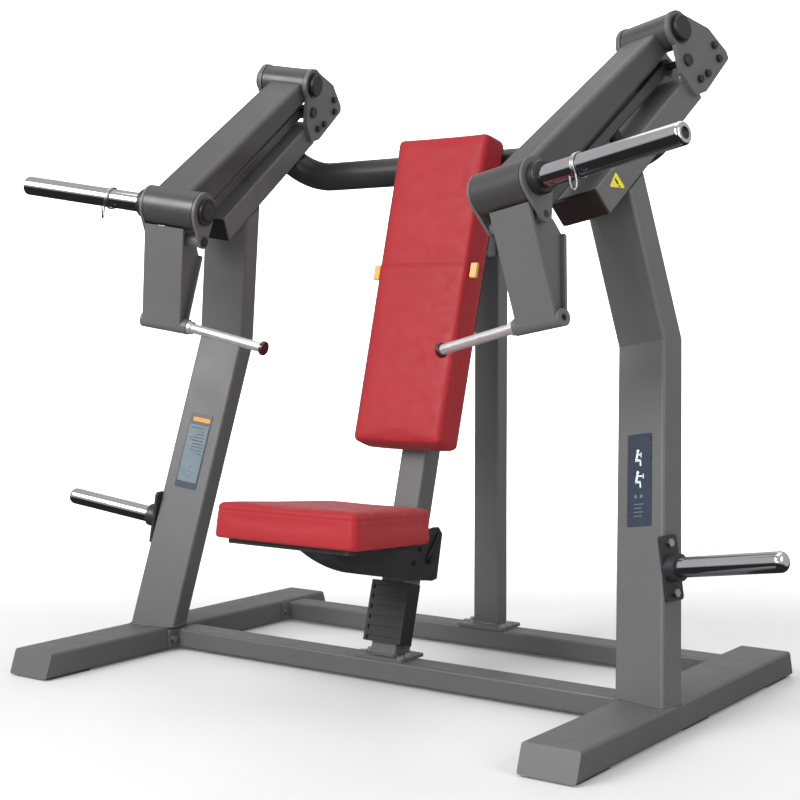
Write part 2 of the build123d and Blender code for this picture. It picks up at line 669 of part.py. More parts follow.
with BuildPart() as rear_post:
    with BuildSketch(Plane.XY.offset(flange_top)) as tube:
        with Locations((0, REAR_POST_Y)):
            RectangleRounded(REAR_POST_W, REAR_POST_D, 6)
            RectangleRounded(REAR_POST_W - 2 * WALL, REAR_POST_D - 2 * WALL, 3, mode=Mode.SUBTRACT)
    extrude(tube.sketch, amount=CROSS_Z + CROSS_R - flange_top)
save(rear_post, "rear_post")

FLANGE_BOLT_X = 58.0
FLANGE_BOLT_Y = 36.0
flange_spots = [(0, FRONT_BAR_Y + 14), (0, REAR_BAR_Y + 6)]
bolt_spots = [(0, FRONT_BAR_Y), (0, REAR_BAR_Y)]
with BuildPart() as base_plates:
    with BuildSketch(Plane.XY.offset(bar_top)) as plates:
        with Locations(*flange_spots):
            RectangleRounded(FLANGE[0], FLANGE[1], 8)
        with Locations(*bolt_spots):
            with GridLocations(2 * FLANGE_BOLT_X, FLANGE_BOLT_Y, 2, 2):
                Circle(BOLT_R, mode=Mode.SUBTRACT)
    extrude(plates.sketch, amount=FLANGE[2])
save(base_plates, "post_base_plates")

# ============================================================ frame fasteners
with BuildPart() as frame_bolts:
    with BuildSketch(Plane.XY.offset(flange_top)) as heads:
        with Locations(*bolt_spots):
            with GridLocations(2 * FLANGE_BOLT_X, FLANGE_BOLT_Y, 2, 2):
                RegularPolygon(HEAD_R, 6)
    extrude(heads.sketch, amount=HEAD_H)
    with BuildSketch(Plane.XY.offset(bar_top + 0.2)) as shanks:
        with Locations(*bolt_spots):
            with GridLocations(2 * FLANGE_BOLT_X, FLANGE_BOLT_Y, 2, 2):
                Circle(BOLT_R)
    extrude(shanks.sketch, amount=FLANGE[2])
    for y in (FRONT_BAR_Y, REAR_BAR_Y):
        for side in (-1, 1):
            with BuildSketch(Plane.YZ.offset(side * (bar_half - END_T))) as end_heads:
                with Locations((y, BAR_Z + BAR_H / 2)):
                    with GridLocations(BAR_D + 38, 1, 2, 1):
                        RegularPolygon(HEAD_R, 6)
            extrude(end_heads.sketch, amount=-side * HEAD_H)
            with BuildSketch(Plane.YZ.offset(side * (bar_half - END_T))) as end_shanks:
                with Locations((y, BAR_Z + BAR_H / 2)):
                    with GridLocations(BAR_D + 38, 1, 2, 1):
                        Circle(BOLT_R)
            extrude(end_shanks.sketch, amount=side * (END_T - 0.3))
    add(store_bolts.part)
    mirror(store_bolts.part, about=Plane.YZ)
save(frame_bolts, "frame_bolts")

# ================================================================ back pad
BACK = Plane(origin=(0, PAD_LOW[0], PAD_LOW[1]), x_dir=(1, 0, 0), z_dir=post_rear * -1)


def back_outline(margin):
    """Corners of the tapered back pad on BACK, smaller by a margin."""
    return [
        (-PAD_BOTTOM_W / 2 + margin, margin),
        (PAD_BOTTOM_W / 2 - margin, margin),
        (PAD_TOP_W / 2 - margin, back_length - margin),
        (-PAD_TOP_W / 2 + margin, back_length - margin),
    ]


with BuildPart() as back_pad:
    with BuildSketch(BACK.offset(-BACK_T)) as cushion:
        with BuildLine():
            Polyline(*back_outline(0), close=True)
        make_face()
        fillet(cushion.vertices(), radius=14)
    extrude(cushion.sketch, amount=BACK_T)
    fillet(back_pad.faces().sort_by(Axis(BACK.origin, BACK.z_dir))[-1].edges(), radius=10)
save(back_pad, "back_pad")

with BuildPart() as back_board:
    with BuildSketch(BACK.offset(-BACK_T - BOARD_T)) as board:
        with BuildLine():
            Polyline(*back_outline(8), close=True)
        make_face()
        fillet(board.vertices(), radius=10)
    extrude(board.sketch, amount=BOARD_T)
save(back_board, "back_board")

TAB_UP = 462.0              # side tabs, up the pad from its lower edge
with BuildPart() as pad_tabs:
    half_w = (PAD_BOTTOM_W + (PAD_TOP_W - PAD_BOTTOM_W) * TAB_UP / back_length) / 2
    for side in (-1, 1):
        with BuildSketch(Plane(BACK.from_local_coords((side * (half_w + 0.4), TAB_UP, -16)),
                               x_dir=post_up, z_dir=(side, 0, 0))) as tab:
            RectangleRounded(40, 10, 3)
        extrude(tab.sketch, amount=18)
save(pad_tabs, "pad_tabs")

# --------------------------------- brackets that hold the back pad and the posts
STRUT_Z = 1120.0
STRUT = 60.0
LUG_H = 34.0
rear_post_front = REAR_POST_Y - REAR_POST_D / 2
with BuildPart() as brackets:
    with BuildSketch(Plane.XZ.offset(-rear_post_front)) as tube:
        with Locations((0, STRUT_Z)):
            RectangleRounded(STRUT, STRUT, 6)
            RectangleRounded(STRUT - 2 * WALL, STRUT - 2 * WALL, 3, mode=Mode.SUBTRACT)
    extrude(tube.sketch, amount=260)
    post_back = Plane(origin=SEAT_POST.from_local_coords((0, POST_D, 0)), z_dir=post_rear)
    split(bisect_by=post_back, keep=Keep.TOP)
    with BuildSketch(Plane.XZ.offset(-rear_post_front)) as lug:
        with Locations((0, CROSS_Z)):
            Rectangle(STRUT, LUG_H)
    extrude(lug.sketch, amount=rear_post_front - CROSS_Y)
    board_low = BACK.from_local_coords((0, back_length - 74, -BACK_T - BOARD_T))
    board_high = BACK.from_local_coords((0, back_length - 34, -BACK_T - BOARD_T))
    wedge = [(board_low.Y, board_low.Z), (board_high.Y, board_high.Z), (CROSS_Y, CROSS_Z + LUG_H / 2),
             (CROSS_Y, CROSS_Z - LUG_H / 2)]
    prism(wedge, Plane.YZ.offset(-STRUT), 2 * STRUT)
    with BuildSketch(Plane.YZ.offset(-STRUT)) as saddle:
        with Locations((CROSS_Y, CROSS_Z)):
            Circle(CROSS_R)
    extrude(saddle.sketch, amount=2 * STRUT, mode=Mode.SUBTRACT)
save(brackets, "back_brackets")

# ====================================================================== seat
seat_run = SEAT_REAR[0] - SEAT_FRONT[0]
seat_drop = SEAT_FRONT[1] - SEAT_REAR[1]
seat_length = hypot(seat_run, seat_drop)
seat_up = Vector(0, seat_drop / seat_length, seat_run / seat_length)
SEAT = Plane(origin=(0, *SEAT_FRONT), x_dir=(1, 0, 0), z_dir=seat_up)


def seat_outline(margin):
    """Corners of the seat on SEAT, wider at the front, smaller by a margin."""
    return [
        (-SEAT_FRONT_W / 2 + margin, margin),
        (SEAT_FRONT_W / 2 - margin, margin),
        (SEAT_REAR_W / 2 - margin, seat_length - margin),
        (-SEAT_REAR_W / 2 + margin, seat_length - margin),
    ]


with BuildPart() as seat_pad:
    with BuildSketch(SEAT.offset(-SEAT_T)) as cushion:
        with BuildLine():
            Polyline(*seat_outline(0), close=True)
        make_face()
        fillet(cushion.vertices(), radius=18)
    extrude(cushion.sketch, amount=SEAT_T)
    fillet(seat_pad.faces().sort_by(Axis(SEAT.origin, SEAT.z_dir))[-1].edges(), radius=10)
save(seat_pad, "seat_pad")

with BuildPart() as seat_board:
    with BuildSketch(SEAT.offset(-SEAT_T - SEAT_BOARD_T)) as board:
        with BuildLine():
            Polyline(*seat_outline(22), close=True)
        make_face()
        fillet(board.vertices(), radius=20)
    extrude(board.sketch, amount=SEAT_BOARD_T)
save(seat_board, "seat_board")

# ---------------------------------------------- carriage that slides on the post
SLIDE_FIT = 0.3
LINER_T = 2.7
CHEEK_T = 6.0
cheek_x = POST_W / 2 + SLIDE_FIT + LINER_T
CARRIAGE_LOW = -196.0       # along the post from POST_MARK
CARRIAGE_HIGH = -92.0


def under_seat(y):
    """Height of the seat board's underside at a distance y."""
    top = SEAT_FRONT[1] - (y - SEAT_FRONT[0]) * seat_drop / seat_run
    return top - (SEAT_T + SEAT_BOARD_T) * seat_length / seat_run


LEVER_PIVOT = (60.0, 300.0)
LEVER_PIN_R = 5.0
CHEEK_TIP = -368.0
CHEEK_REAR = -100.0
CHEEK_BACK = [(72.0, 240.0), (96.0, 243.0), (122.0, 358.0), (106.0, 377.0), (86.0, 379.0), (-60.0, 364.0)]
with BuildPart() as carriage:
    for start in (-cheek_x - CHEEK_T, cheek_x):
        with BuildSketch(Plane.YZ.offset(start)) as cheek:
            with BuildLine():
                belly = ThreePointArc((CHEEK_TIP, under_seat(CHEEK_TIP) - 2), (-268, 318), (-165, 284))
                Polyline(belly @ 1, *CHEEK_BACK, (CHEEK_REAR, under_seat(CHEEK_REAR)),
                         (CHEEK_TIP, under_seat(CHEEK_TIP)), belly @ 0)
            make_face()
        extrude(cheek.sketch, amount=CHEEK_T)
    with BuildSketch(Plane.YZ.offset(-cheek_x)) as belly_strip:
        with BuildLine():
            under = ThreePointArc((CHEEK_TIP, under_seat(CHEEK_TIP) - 2), (-268, 318), (-165, 284))
            over = ThreePointArc((-163, 288), (-266, 322), (CHEEK_TIP + 8, under_seat(CHEEK_TIP + 8) - 1))
            Line(under @ 1, over @ 0)
            Line(over @ 1, under @ 0)
        make_face()
    extrude(belly_strip.sketch, amount=2 * cheek_x)
    for near, far in ((-SLIDE_FIT - LINER_T - 5, -SLIDE_FIT - LINER_T),
                      (POST_D + SLIDE_FIT + LINER_T, POST_D + SLIDE_FIT + LINER_T + 5)):
        with BuildSketch(SEAT_POST.offset(CARRIAGE_LOW)) as web:
            with Locations((0, (near + far) / 2)):
                Rectangle(2 * cheek_x, far - near)
        extrude(web.sketch, amount=CARRIAGE_HIGH - CARRIAGE_LOW)
    with BuildSketch(Plane.YZ.offset(cheek_x)) as pin_hole:
        with Locations(LEVER_PIVOT):
            Circle(LEVER_PIN_R)
    extrude(pin_hole.sketch, amount=CHEEK_T, mode=Mode.SUBTRACT)
save(carriage, "seat_carriage")

with BuildPart() as liner:
    with BuildSketch(SEAT_POST.offset(CARRIAGE_LOW + 2)) as ring:
        with Locations((0, POST_D / 2)):
            Rectangle(POST_W + 2 * (SLIDE_FIT + LINER_T), POST_D + 2 * (SLIDE_FIT + LINER_T))
            RectangleRounded(POST_W + 2 * SLIDE_FIT, POST_D + 2 * SLIDE_FIT, 6, mode=Mode.SUBTRACT)
    extrude(ring.sketch, amount=CARRIAGE_HIGH - CARRIAGE_LOW - 4)
save(liner, "slide_liner")

# --------------------------------------------------------- ribbed rack cover
RACK_W = 115.0
RACK_LEAD = 12.0            # the cover stands this far ahead of the post
RACK_D = 52.0
RACK_LOW = -368.0
RACK_HIGH = -212.0
RIBS = 6
with BuildPart() as rack:
    with BuildSketch(SEAT_POST.offset(RACK_LOW)) as shell:
        with Locations((0, RACK_D / 2 - RACK_LEAD)):
            Rectangle(RACK_W, RACK_D)
        with Locations((0, POST_D / 2)):
            Rectangle(POST_W + 0.4, POST_D + 0.4, mode=Mode.SUBTRACT)
    extrude(shell.sketch, amount=RACK_HIGH - RACK_LOW)
    pitch = (RACK_HIGH - RACK_LOW) / RIBS
    for step in range(RIBS):
        with BuildSketch(SEAT_POST.offset(RACK_LOW + pitch * step + 3)) as groove:
            with Locations((0, -RACK_LEAD)):
                Rectangle(RACK_W - 16, 9)
        extrude(groove.sketch, amount=pitch * 0.45, mode=Mode.SUBTRACT)
save(rack, "seat_rack")

# ------------------------------------------------------------- release lever
LEVER_X = cheek_x + CHEEK_T
with BuildPart() as lever:
    with BuildSketch(Plane.YZ.offset(LEVER_X + 1)) as blade:
        with Locations(LEVER_PIVOT):
            Circle(14)
        with Locations((104.0, 358.0)):
            Circle(8)
        make_hull()
        with Locations(LEVER_PIVOT):
            Circle(LEVER_PIN_R + RUN_FIT, mode=Mode.SUBTRACT)
    extrude(blade.sketch, amount=6)
    fillet(lever.edges().filter_by(GeomType.LINE), radius=1.5)
save(lever, "seat_lever")

with BuildPart() as seat_fasteners:
    with BuildSketch(Plane.YZ.offset(cheek_x + 1)) as pin:
        with Locations(LEVER_PIVOT):
            Circle(LEVER_PIN_R)
    extrude(pin.sketch, amount=CHEEK_T + 8)
    with BuildSketch(Plane.YZ.offset(LEVER_X + 8)) as head:
        with Locations(LEVER_PIVOT):
            Circle(8)
    extrude(head.sketch, amount=3)
    for side in (-1, 1):
        with BuildSketch(Plane.YZ.offset(side * LEVER_X)) as bolt_heads:
            with Locations((-8.0, 297.0), (20.0, 330.0)):
                RegularPolygon(7, 6)
        extrude(bolt_heads.sketch, amount=5 * side)
save(seat_fasteners, "seat_fasteners")
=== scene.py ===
import json
from math import cos, hypot, pi, radians, sin

import bpy
import bmesh
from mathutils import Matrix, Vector


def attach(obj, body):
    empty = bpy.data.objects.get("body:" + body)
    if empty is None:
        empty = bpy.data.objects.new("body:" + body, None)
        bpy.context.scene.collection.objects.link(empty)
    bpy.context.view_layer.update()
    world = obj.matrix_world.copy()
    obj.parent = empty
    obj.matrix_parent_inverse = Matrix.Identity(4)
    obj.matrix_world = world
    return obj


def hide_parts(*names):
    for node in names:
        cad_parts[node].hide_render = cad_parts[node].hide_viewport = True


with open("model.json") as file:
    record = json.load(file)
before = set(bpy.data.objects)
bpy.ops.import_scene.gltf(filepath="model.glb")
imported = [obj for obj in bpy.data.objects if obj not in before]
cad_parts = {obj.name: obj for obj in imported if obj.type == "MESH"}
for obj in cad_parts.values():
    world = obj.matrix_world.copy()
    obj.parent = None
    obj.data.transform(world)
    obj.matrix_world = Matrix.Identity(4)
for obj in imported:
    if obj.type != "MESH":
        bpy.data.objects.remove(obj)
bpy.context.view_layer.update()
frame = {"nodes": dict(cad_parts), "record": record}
nodes = frame["nodes"]
SIDES = (("right", 1), ("left", -1))

# ------------------------------------------------------------- side planes
horn = next(m for m in frame["record"]["mounts"] if m["name"] == "right_weight_horn")
OUT = Vector(horn["axis"])
REAR = Vector((-OUT.y, OUT.x, 0)).normalized()
UP = OUT.cross(REAR)
SIDE_START = Vector((0, -0.011, 0))     # where the distances below are measured from


def side_point(rear, up, out, side=1):
    """Point of a tilted side plane (millimetres rearward, up, outward), in metres."""
    p = SIDE_START + (REAR * rear + UP * up + OUT * out) / 1000
    return Vector((p.x * side, p.y, p.z))


# --------------------------------------------------------------- materials
def link(tree, a, b):
    """Joins an output socket to an input."""
    tree.links.new(a, b)


def node(tree, kind, **values):
    """New node, its inputs or properties set by name."""
    n = tree.nodes.new(kind)
    for key, value in values.items():
        if key in n.inputs:
            n.inputs[key].default_value = value
        else:
            setattr(n, key, value)
    return n


def noise(tree, where, scale, detail, rough=0.55):
    """Noise texture read at a coordinate."""
    n = node(tree, "ShaderNodeTexNoise", Scale=scale, Detail=detail, Roughness=rough)
    link(tree, where, n.inputs["Vector"])
    return n


def spread(tree, source, low, high):
    """Maps a noise value onto a range."""
    n = node(tree, "ShaderNodeMapRange")
    n.inputs["From Min"].default_value = 0.3
    n.inputs["From Max"].default_value = 0.7
    n.inputs["To Min"].default_value = low
    n.inputs["To Max"].default_value = high
    link(tree, source, n.inputs["Value"])
    return n.outputs["Result"]


def mixed(tree, factor, a, b):
    """Colour between a and b."""
    n = node(tree, "ShaderNodeMix", data_type="RGBA")
    n.inputs["A"].default_value = (*a, 1)
    n.inputs["B"].default_value = (*b, 1)
    link(tree, factor, n.inputs["Factor"])
    return n.outputs["Result"]


def shade(colour, factor):
    """Lighter or darker version of a colour."""
    return tuple(min(1.0, c * factor) for c in colour)


def material(name, colour, rough, metallic=0.0, vary=0.12, patch=3.0, grain=260.0, bump=0.05,
             depth=0.0004, coat=0.0, coat_rough=0.2, stretch=(1, 1, 1), specular=0.5):
    """Finish with colour patches, uneven gloss and a fine surface grain."""
    m = bpy.data.materials.new(name)
    m.use_nodes = True
    tree = m.node_tree
    shader = tree.nodes["Principled BSDF"]
    shader.inputs["Metallic"].default_value = metallic
    shader.inputs["Coat Weight"].default_value = coat
    shader.inputs["Coat Roughness"].default_value = coat_rough
    shader.inputs["Specular IOR Level"].default_value = specular
    place = node(tree, "ShaderNodeTexCoord").outputs["Object"]
    scaled = node(tree, "ShaderNodeMapping")
    scaled.inputs["Scale"].default_value = stretch
    link(tree, place, scaled.inputs["Vector"])
    patches = noise(tree, place, patch, 5.0)
    fine = noise(tree, scaled.outputs["Vector"], grain, 3.0)
    tone = spread(tree, patches.outputs["Fac"], 0.0, 1.0)
    patched = mixed(tree, tone, shade(colour, 1 - vary), shade(colour, 1 + vary))
    link(tree, patched, shader.inputs["Base Color"])
    gloss = noise(tree, place, patch * 6, 6.0)
    uneven = spread(tree, gloss.outputs["Fac"], rough * 0.85, rough * 1.15)
    link(tree, uneven, shader.inputs["Roughness"])
    relief = node(tree, "ShaderNodeBump", Strength=bump, Distance=depth)
    link(tree, fine.outputs["Fac"], relief.inputs["Height"])
    link(tree, relief.outputs["Normal"], shader.inputs["Normal"])
    return m


def vinyl(name, colour):
    """Upholstery vinyl: pebbled grain over soft creases."""
    m = material(name, colour, 0.50, vary=0.05, patch=5.0, specular=0.25)
    tree = m.node_tree
    shader = tree.nodes["Principled BSDF"]
    shader.inputs["Sheen Weight"].default_value = 0.05
    shader.inputs["Sheen Roughness"].default_value = 0.5
    place = node(tree, "ShaderNodeTexCoord").outputs["Object"]
    pebble = node(tree, "ShaderNodeTexVoronoi", Scale=420.0, Randomness=0.9)
    link(tree, place, pebble.inputs["Vector"])
    crease = noise(tree, place, 26.0, 6.0, 0.6)
    first = node(tree, "ShaderNodeBump", Strength=0.25, Distance=0.0005)
    link(tree, pebble.outputs["Distance"], first.inputs["Height"])
    second = node(tree, "ShaderNodeBump", Strength=0.12, Distance=0.003)
    link(tree, crease.outputs["Fac"], second.inputs["Height"])
    link(tree, first.outputs["Normal"], second.inputs["Normal"])
    link(tree, second.outputs["Normal"], shader.inputs["Normal"])
    return m


PAINT = material("powder_coat", (0.108, 0.108, 0.110), 0.44, vary=0.07, patch=2.2,
                 grain=520.0, bump=0.12, depth=0.0006)
ARM_PAINT = material("arm_coat", (0.046, 0.046, 0.048), 0.36, vary=0.08, patch=2.6,
                     grain=520.0, bump=0.12, depth=0.0006, coat=0.2, coat_rough=0.3)
CHROME = material("polished_chrome", (0.74, 0.74, 0.76), 0.09, metallic=1.0, vary=0.04,
                  patch=9.0, grain=90.0, bump=0.02, depth=0.0003)
SATIN = material("satin_chrome", (0.82, 0.82, 0.83), 0.34, metallic=0.75, vary=0.04,
                 patch=9.0, grain=300.0, bump=0.04)
ZINC = material("zinc_plate", (0.52, 0.52, 0.53), 0.30, metallic=1.0, vary=0.12,
                patch=40.0, grain=700.0, bump=0.08)
DARK_STEEL = material("blackened_steel", (0.055, 0.055, 0.058), 0.34, metallic=0.7, vary=0.15,
                      patch=20.0, grain=600.0, bump=0.10)
DARK_COAT = material("dark_coat", (0.026, 0.026, 0.028), 0.36, vary=0.12, patch=6.0,
                     grain=520.0, bump=0.10)
# handle ends: black gloss whose colour carries a red tint, a painted reflection of the red pads
BLACK_GLOSS_PAINTED_RED_REFLECTION = material("black_gloss_painted_red_reflection", (0.060, 0.012, 0.014), 0.16, vary=0.12, patch=18.0,
                     grain=500.0, bump=0.03, coat=0.6)
BLACK = material("black_plastic", (0.016, 0.016, 0.017), 0.42, vary=0.15, patch=12.0,
                 grain=900.0, bump=0.15)
RUBBER = material("rubber", (0.022, 0.022, 0.022), 0.75, vary=0.2, patch=15.0,
                  grain=500.0, bump=0.2)
BOARD = material("lacquered_board", (0.02, 0.019, 0.018), 0.5, vary=0.2, patch=6.0,
                 grain=120.0, bump=0.1, stretch=(1, 8, 1))
RED = vinyl("red_vinyl", (0.345, 0.015, 0.021))
YELLOW = material("yellow_plastic", (0.74, 0.37, 0.09), 0.35, vary=0.06, patch=30.0,
                  grain=500.0)
FILM = material("placard_film", (0.016, 0.026, 0.050), 0.30, vary=0.15, patch=14.0,
                grain=600.0, coat=0.3)
LABEL = material("label_film", (0.78, 0.70, 0.03), 0.35, vary=0.05, patch=40.0,
                 grain=700.0, coat=0.2)


def ink(name, colour, rough=0.45, vary=0.05, patch=60.0):
    """Printed ink on a placard or label."""
    return material(name, colour, rough, vary=vary, patch=patch, grain=900.0)


WHITE = ink("white_ink", (0.72, 0.76, 0.80))
INK = ink("dark_ink", (0.02, 0.02, 0.02), rough=0.5, vary=0.1)
ORANGE = ink("orange_ink", (0.70, 0.26, 0.02))
SLATE = ink("slate_ink", (0.12, 0.17, 0.20), vary=0.1, patch=40.0)

BY_SLOT = {
    "frame_paint": PAINT,
    "arm_paint": ARM_PAINT,
    "chrome": CHROME,
    "steel": ZINC,
    "dark_steel": DARK_STEEL,
    "black_plastic": BLACK,
    "rubber": RUBBER,
    "upholstery": RED,
    "board": BOARD,
    "yellow_plastic": YELLOW,
    "placard_film": FILM,
    "label_film": LABEL,
}
BY_NODE = {"seat_carriage": DARK_COAT, "back_crosstube": DARK_COAT, "storage_plates": DARK_COAT}
for word, _ in SIDES:
    BY_NODE[f"{word}_handle"] = SATIN
    # handle ends get the black gloss tinted with the painted red reflection
    BY_NODE[f"{word}_handle_end"] = BLACK_GLOSS_PAINTED_RED_REFLECTION
    BY_NODE[f"{word}_drop_link"] = PAINT
for part in frame["record"]["subparts"]:
    mesh = nodes[part["node"]].data
    mesh.materials.clear()
    mesh.materials.append(BY_NODE.get(part["node"], BY_SLOT[part["material_slot"]]))


# ------------------------------------------------------------- mesh helpers
def piece(name, mesh, finish, body, smooth=True):
    """Links a finished mesh as a piece that rides on a body."""
    mesh.materials.append(finish)
    if smooth:
        mesh.shade_smooth()
    obj = bpy.data.objects.new(name, mesh)
    bpy.context.scene.collection.objects.link(obj)
    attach(obj, body)
    return obj


def round_steps(count):
    """Angles at even steps round a full turn."""
    return [2 * pi * k / count for k in range(count)]


def finished(name, bm):
    """Mesh from a bmesh, its faces turned outward."""
    bmesh.ops.recalc_face_normals(bm, faces=bm.faces)
    mesh = bpy.data.meshes.new(name)
    bm.to_mesh(mesh)
    bm.free()
    return mesh


def skin(bm, rings):
    """Faces between neighbouring rings of vertices."""
    for a, b in zip(rings, rings[1:]):
        n = len(a)
        for k in range(n):
            bm.faces.new((a[k], a[(k + 1) % n], b[(k + 1) % n], b[k]))


def solid_mesh(name, solids):
    """Closed solids: each is a list of rings of points, with a face over the first and last."""
    bm = bmesh.new()
    for solid in solids:
        rings = [[bm.verts.new(p) for p in ring] for ring in solid]
        skin(bm, rings)
        bm.faces.new(rings[0][::-1])
        bm.faces.new(rings[-1])
    return finished(name, bm)


def baked(obj):
    """Mesh of an object with its modifiers applied."""
    return bpy.data.meshes.new_from_object(obj.evaluated_get(bpy.context.evaluated_depsgraph_get()))


def turns_right(a, b, c):
    """Whether the path a-b-c in a level plane turns right or runs straight."""
    return (b[0] - a[0]) * (c[1] - a[1]) - (b[1] - a[1]) * (c[0] - a[0]) <= 0


def half_hull(points):
    """One side of the outline, from points in order."""
    chain = []
    for q in points:
        while len(chain) > 1 and turns_right(chain[-2], chain[-1], q):
            chain.pop()
        chain.append(q)
    return chain[:-1]


def hull(points):
    """Outline round points that lie in a level plane."""
    flat = sorted({(round(p.x, 5), round(p.y, 5)) for p in points})
    return half_hull(flat) + half_hull(flat[::-1])


# ----------------------------------------------------------------- cushions
BACK_LOW = Vector((0, -0.028, 0.602))
BACK_UP = (Vector((0, 0.194, 1.406)) - BACK_LOW).normalized()
BACK_FRONT = Vector((0, -BACK_UP.z, BACK_UP.y))
SEAT_EDGE = Vector((0, -0.474, 0.481))
SEAT_BACK = (Vector((0, -0.091, 0.4505)) - SEAT_EDGE).normalized()
SEAT_TOP = Vector((0, -SEAT_BACK.z, SEAT_BACK.y))
BACK_T = 0.078
SEAT_T = 0.084
VOXEL = 0.006               # size of the mesh that the cover is simulated on
STAPLED = 0.006             # the cover is held this far up from the board
SWELL = 0.004               # most that a cushion's cover moves out
SOFTEN = 36                 # rounds of averaging that take small wrinkles out


def inflate(obj, held):
    """Cloth simulation with air pressure; held(point) says where the cover is stapled down."""
    rest = [v.co.copy() for v in obj.data.vertices]
    group = obj.vertex_groups.new(name="held")
    group.add([i for i, p in enumerate(rest) if held(p)], 1.0, "REPLACE")
    cloth = obj.modifiers.new("cloth", "CLOTH")
    cloth.settings.quality = 5
    cloth.settings.mass = 0.3
    cloth.settings.tension_stiffness = 18
    cloth.settings.compression_stiffness = 18
    cloth.settings.bending_stiffness = 2.0
    cloth.settings.use_pressure = True
    cloth.settings.uniform_pressure_force = 3
    cloth.settings.effector_weights.gravity = 0
    cloth.settings.vertex_group_mass = "held"
    cloth.collision_settings.use_collision = False
    for step in range(1, 21):
        bpy.context.scene.frame_set(step)
    moved = obj.evaluated_get(bpy.context.evaluated_depsgraph_get()).to_mesh()
    ends = [v.co.copy() for v in moved.vertices]
    obj.modifiers.remove(cloth)
    bpy.context.scene.frame_set(1)
    pushes = [b - a for a, b in zip(rest, ends)]
    beside = [[] for _ in rest]
    for edge in obj.data.edges:
        a, b = edge.vertices
        beside[a].append(b)
        beside[b].append(a)
    for _ in range(SOFTEN):
        pushes = [(push + sum((pushes[k] for k in near), Vector())) / (1 + len(near))
                  for push, near in zip(pushes, beside)]
    for v, a, push in zip(obj.data.vertices, rest, pushes):
        if push.length > SWELL:
            push *= SWELL / push.length
        v.co = a + push


def cushion(name, of, body, origin, front, depth, seams):
    """Upholstered pad in place of a plain CAD pad: inflated, then creased along its seams."""
    mesh = nodes[of].data.copy()
    mesh.name = name
    mesh.materials.clear()
    obj = bpy.data.objects.new(name, mesh)
    bpy.context.scene.collection.objects.link(obj)
    bpy.context.view_layer.objects.active = obj
    remesh = obj.modifiers.new("remesh", "REMESH")
    remesh.mode = "VOXEL"
    remesh.voxel_size = VOXEL
    obj.data = baked(obj)
    obj.modifiers.remove(remesh)
    inflate(obj, lambda p: (p - origin).dot(front) < STAPLED - depth)
    half = obj.modifiers.new("half", "SUBSURF")
    half.levels = 1
    half.render_levels = 1
    obj.data = baked(obj)
    obj.modifiers.remove(half)
    bm = bmesh.new()
    bm.from_mesh(obj.data)
    bm.normal_update()
    shifts = []
    for v in bm.verts:
        sink = sum(deep * max(0.0, 1 - abs(line(v.co)) / wide) ** 2 for line, deep, wide in seams)
        shifts.append(v.normal * -sink)
    for v, move in zip(bm.verts, shifts):
        v.co += move
    bm.to_mesh(obj.data)
    bm.free()
    obj.data.materials.append(RED)
    obj.data.shade_smooth()
    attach(obj, body)
    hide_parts(of)


MID_SEAM = 0.474            # cross seam, up the back pad from its lower edge
RIM_SEAM = 0.016            # seam round each pad, behind its front face
# each seam: distance of a point from it, then its depth and half width in metres
back_seams = [
    (lambda p: (p - BACK_LOW).dot(BACK_UP) - MID_SEAM, 0.0022, 0.006),
    (lambda p: (p - BACK_LOW).dot(BACK_FRONT) + RIM_SEAM, 0.0012, 0.005),
]
seat_seams = [(lambda p: (p - SEAT_EDGE).dot(SEAT_TOP) + RIM_SEAM, 0.0012, 0.005)]
cushion("back_cushion", "back_pad", "frame", BACK_LOW, BACK_FRONT, BACK_T, back_seams)
cushion("seat_cushion", "seat_pad", "seat", SEAT_EDGE, SEAT_TOP, SEAT_T, seat_seams)

# --------------------------------------------------------------- weld beads
BEAD_R = 0.0035
BEAD_STEP = 0.004
BEAD_LIFT = 0.0008
BEAD_RIPPLE = 0.12
BEAD_SIDES = 8
FOOT_TOP = 0.067
BASE_PLATE_TOP = 0.068


def even_steps(corners):
    """Points at an even step round a closed outline."""
    out = []
    for a, b in zip(corners, corners[1:] + corners[:1]):
        n = max(1, round((b - a).length / BEAD_STEP))
        out += [a.lerp(b, i / n) for i in range(n)]
    return out


def bead_mesh(name, points):
    """Ring of round tube along level points, with the scalloped crests of a weld bead."""
    bm = bmesh.new()
    rings = []
    for i, p in enumerate(points):
        run = (points[(i + 1) % len(points)] - points[i - 1]).normalized()
        across = run.cross(Vector((0, 0, 1))).normalized()
        lift = across.cross(run)
        r = BEAD_R * (1 + BEAD_RIPPLE * (1 if i % 2 else -1))
        spokes = [across * cos(t) + lift * sin(t) for t in round_steps(BEAD_SIDES)]
        rings.append([bm.verts.new(p + spoke * r) for spoke in spokes])
    skin(bm, rings + rings[:1])
    return finished(name, bm)


def weld_at_foot(name, of, height):
    """Weld bead round the foot of a tube that stands on a plate."""
    low = [v.co for v in nodes[of].data.vertices if abs(v.co.z - height) < 0.0006]
    corners = [Vector((x, y, height + BEAD_LIFT)) for x, y in hull(low)]
    piece(name, bead_mesh(name, even_steps(corners)), PAINT, "frame")


for word, _ in SIDES:
    weld_at_foot(f"{word}_foot_weld", f"{word}_upright", FOOT_TOP)
weld_at_foot("seat_post_weld", "seat_post", BASE_PLATE_TOP)
weld_at_foot("rear_post_weld", "rear_post", BASE_PLATE_TOP)

# ----------------------------------------------------------------- placards
KNEE = (184.0, 749.0)       # a point on the front face of each upright's lower run
SHIN_SLOPE = 0.2059         # how far that face goes rearward for each millimetre up
PLACARD_MID = 434.0         # height of the placards' middle
FRAME_MID = 760.0           # middle of the uprights, outward
PRINT_LOW = 1.7             # prints lie between these heights off the upright's face
PRINT_HIGH = 2.0
LINE_STEP = 9


